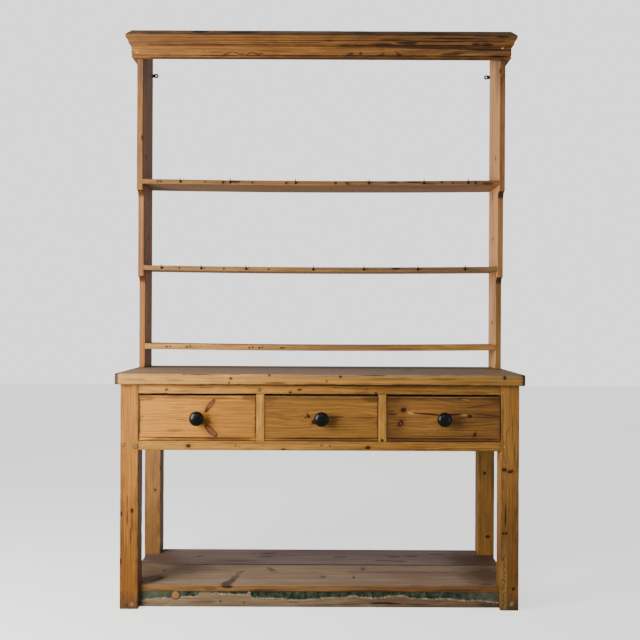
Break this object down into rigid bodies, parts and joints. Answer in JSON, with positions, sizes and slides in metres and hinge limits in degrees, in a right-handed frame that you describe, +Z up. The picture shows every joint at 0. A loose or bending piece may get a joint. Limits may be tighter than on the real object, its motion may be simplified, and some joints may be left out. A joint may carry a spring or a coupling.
{
  "type": "welsh dresser",
  "caption": "Open plate rack with stepped sides, sagging shelves and a moulded cornice on a base with drawers over a pot board.",
  "frame": {"origin": "on the floor, in the middle of the overall width and of the overall depth, drawer knobs included", "axes": "+Z up, +Y from the drawer fronts towards the wall, +X towards the right-hand end seen from the front"},
  "size_m": [1.48, 0.492, 2.105],
  "materials": {
    "waxed_pine": "waxed antique pine, satin",
    "worktop_pine": "worn and darkened pine, satin",
    "pot_board_pine": "worn grey-brown pine, dull",
    "raw_pine": "unfinished aged pine",
    "stained_pine": "dark waxed pine, satin",
    "weathered_pine": "dusty weathered pine, dull",
    "painted_pine": "bare pine with remains of old green paint",
    "ebonised_wood": "gloss black",
    "black_iron": "black iron, dull"
  },
  "bodies": {
    "frame": {"leg_front_left": "waxed_pine", "leg_front_right": "waxed_pine", "leg_back_left": "waxed_pine", "leg_back_right": "waxed_pine", "front_top_rail": "waxed_pine", "drawer_rail": "waxed_pine", "drawer_divider_left": "waxed_pine", "drawer_divider_right": "waxed_pine", "end_panel_left": "waxed_pine", "end_panel_right": "waxed_pine", "back_panel": "raw_pine", "runner_left_end": "raw_pine", "runner_left_middle": "raw_pine", "runner_right_middle": "raw_pine", "runner_right_end": "raw_pine", "kicker_left_end": "raw_pine", "kicker_left_middle": "raw_pine", "kicker_right_middle": "raw_pine", "kicker_right_end": "raw_pine", "worktop_front_board": "worktop_pine", "worktop_rear_board": "worktop_pine", "pot_board_front": "pot_board_pine", "pot_board_rear": "pot_board_pine", "kickboard": "painted_pine", "low_side_rail_left": "waxed_pine", "low_side_rail_right": "waxed_pine", "low_back_rail": "raw_pine", "rack_side_left": "waxed_pine", "rack_side_right": "waxed_pine", "shelf_bottom": "waxed_pine", "shelf_middle": "waxed_pine", "shelf_top": "waxed_pine", "frieze_front": "waxed_pine", "frieze_left": "waxed_pine", "frieze_right": "waxed_pine", "crown_moulding_front": "stained_pine", "crown_moulding_left": "stained_pine", "crown_moulding_right": "stained_pine", "roof_board": "weathered_pine", "wall_plate_left": "black_iron", "wall_plate_right": "black_iron"},
    "drawer_left": {"drawer_left_front": "waxed_pine", "drawer_left_side_left": "raw_pine", "drawer_left_side_right": "raw_pine", "drawer_left_back": "raw_pine", "drawer_left_bottom": "raw_pine", "drawer_left_knob": "ebonised_wood"},
    "drawer_middle": {"drawer_middle_front": "waxed_pine", "drawer_middle_side_left": "raw_pine", "drawer_middle_side_right": "raw_pine", "drawer_middle_back": "raw_pine", "drawer_middle_bottom": "raw_pine", "drawer_middle_knob": "ebonised_wood"},
    "drawer_right": {"drawer_right_front": "waxed_pine", "drawer_right_side_left": "raw_pine", "drawer_right_side_right": "raw_pine", "drawer_right_back": "raw_pine", "drawer_right_bottom": "raw_pine", "drawer_right_knob": "ebonised_wood"}
  },
  "joints": [
    {"name": "drawer_left_slide", "type": "slide", "parent": "frame", "child": "drawer_left", "axis": [0, -1, 0], "range_m": [0, 0.3]},
    {"name": "drawer_middle_slide", "type": "slide", "parent": "frame", "child": "drawer_middle", "axis": [0, -1, 0], "range_m": [0, 0.3]},
    {"name": "drawer_right_slide", "type": "slide", "parent": "frame", "child": "drawer_right", "axis": [0, -1, 0], "range_m": [0, 0.3]}
  ]
}
